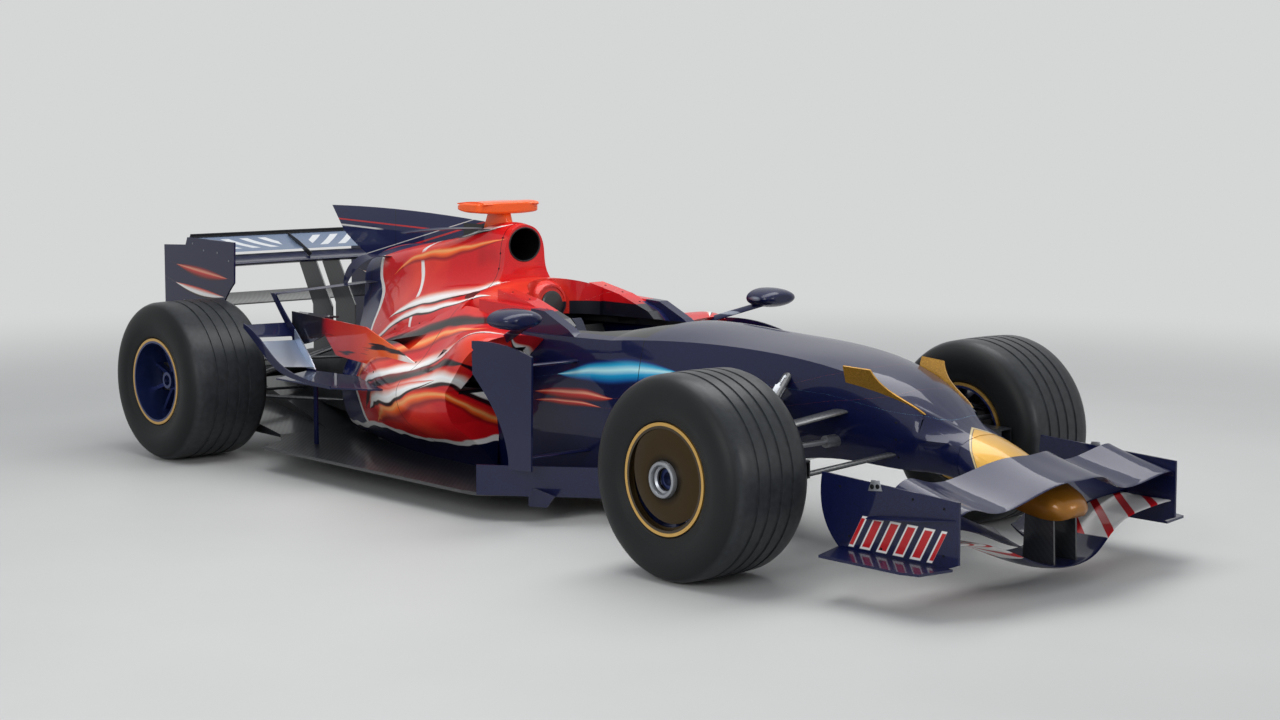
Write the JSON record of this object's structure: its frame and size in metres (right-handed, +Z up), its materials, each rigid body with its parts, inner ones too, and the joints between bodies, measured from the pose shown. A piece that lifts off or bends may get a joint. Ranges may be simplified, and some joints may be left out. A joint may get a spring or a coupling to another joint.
{
  "type": "open wheel racing car",
  "caption": "Open wheel racing car with a single open seat, an airbox with a tail fin, wings at both ends and steered grooved tyres.",
  "frame": {"origin": "on the ground, in the middle of the car's length and width", "axes": "+X forward, +Y to the car's left, +Z up"},
  "size_m": [4.58, 1.793, 1.0989],
  "materials": {
    "hull_paint": "gloss",
    "gold_paint": "satin",
    "cover_paint": "gloss",
    "wing_paint": "gloss",
    "fin_paint": "gloss",
    "camera_orange": "gloss",
    "carbon": "satin carbon fibre",
    "plank_wood": "dark laminate",
    "cast_metal": "machined",
    "rim_metal": "satin",
    "bronze_cover": "satin",
    "lamp": "gloss",
    "tyre": "satin"
  },
  "bodies": {
    "chassis": {"airbox_horns": "carbon", "bargeboards": "hull_paint", "beam_wing": "carbon", "camera_pod": "camera_orange", "cover_tail_blades": "carbon", "crash_structure": "carbon", "diffuser": "carbon", "engine_block": "cast_metal", "engine_cover": "cover_paint", "flip_ups": "hull_paint", "floor": "carbon", "front_suspension": "carbon", "front_wing_endplates": "wing_paint", "front_wing_flaps": "wing_paint", "front_wing_main_plane": "wing_paint", "front_wing_upper_plane": "wing_paint", "gearbox": "cast_metal", "headrest": "cover_paint", "mirrors": "hull_paint", "monocoque": "hull_paint", "nose_cone": "hull_paint", "nose_fins": "gold_paint", "nose_pylons": "carbon", "plank": "plank_wood", "pod_fins": "fin_paint", "rain_light": "lamp", "rear_suspension": "carbon", "rear_uprights": "cast_metal", "rear_wing_endplates": "wing_paint", "rear_wing_flap": "wing_paint", "rear_wing_main_plane": "wing_paint", "rear_wing_pylons": "carbon", "seat": "carbon", "sidepods": "cover_paint"},
    "upright_right": {"front_upright_right": "cast_metal", "brake_duct_front_right": "carbon"},
    "upright_left": {"front_upright_left": "cast_metal", "brake_duct_front_left": "carbon"},
    "wheel_front_right": {"tyre_front_right": "tyre", "rim_front_right": "rim_metal", "hub_front_right": "cast_metal", "wheel_cover_front_right": "bronze_cover"},
    "wheel_front_left": {"tyre_front_left": "tyre", "rim_front_left": "rim_metal", "hub_front_left": "cast_metal", "wheel_cover_front_left": "bronze_cover"},
    "wheel_rear_right": {"tyre_rear_right": "tyre", "rim_rear_right": "rim_metal", "hub_rear_right": "cast_metal"},
    "wheel_rear_left": {"tyre_rear_left": "tyre", "rim_rear_left": "rim_metal", "hub_rear_left": "cast_metal"},
    "steering_rack": {"steering_rack": "cast_metal"},
    "steering_wheel": {"steering_wheel": "carbon"}
  },
  "joints": [
    {"name": "steer_left", "type": "hinge", "parent": "chassis", "child": "upright_left", "pos_m": [1.35, 0.688, 0.33], "axis": [0, 0, 1], "range_deg": [-14, 14]},
    {"name": "steer_right", "type": "hinge", "parent": "chassis", "child": "upright_right", "pos_m": [1.35, -0.688, 0.33], "axis": [0, 0, 1], "range_deg": [-14, 14]},
    {"name": "rack_slide", "type": "slide", "parent": "chassis", "child": "steering_rack", "axis": [0, 1, 0], "range_m": [-0.0216, 0.0216]},
    {"name": "steering_wheel_turn", "type": "hinge", "parent": "chassis", "child": "steering_wheel", "pos_m": [0.43, 0, 0.575], "axis": [-0.9781, 0, 0.2079], "range_deg": [-154, 154]},
    {"name": "spin_front_right", "type": "hinge", "parent": "upright_right", "child": "wheel_front_right", "pos_m": [1.35, -0.72, 0.33], "axis": [0, 1, 0], "continuous": true},
    {"name": "spin_front_left", "type": "hinge", "parent": "upright_left", "child": "wheel_front_left", "pos_m": [1.35, 0.72, 0.33], "axis": [0, 1, 0], "continuous": true},
    {"name": "spin_rear_right", "type": "hinge", "parent": "chassis", "child": "wheel_rear_right", "pos_m": [-1.745, -0.705, 0.33], "axis": [0, 1, 0], "continuous": true},
    {"name": "spin_rear_left", "type": "hinge", "parent": "chassis", "child": "wheel_rear_left", "pos_m": [-1.745, 0.705, 0.33], "axis": [0, 1, 0], "continuous": true}
  ],
  "couplings": [
    {"joint": "steer_right", "follows": "steer_left", "ratio": 1},
    {"joint": "rack_slide", "follows": "steer_left", "m_per_rad": 0.088},
    {"joint": "steering_wheel_turn", "follows": "steer_left", "ratio": 11}
  ]
}
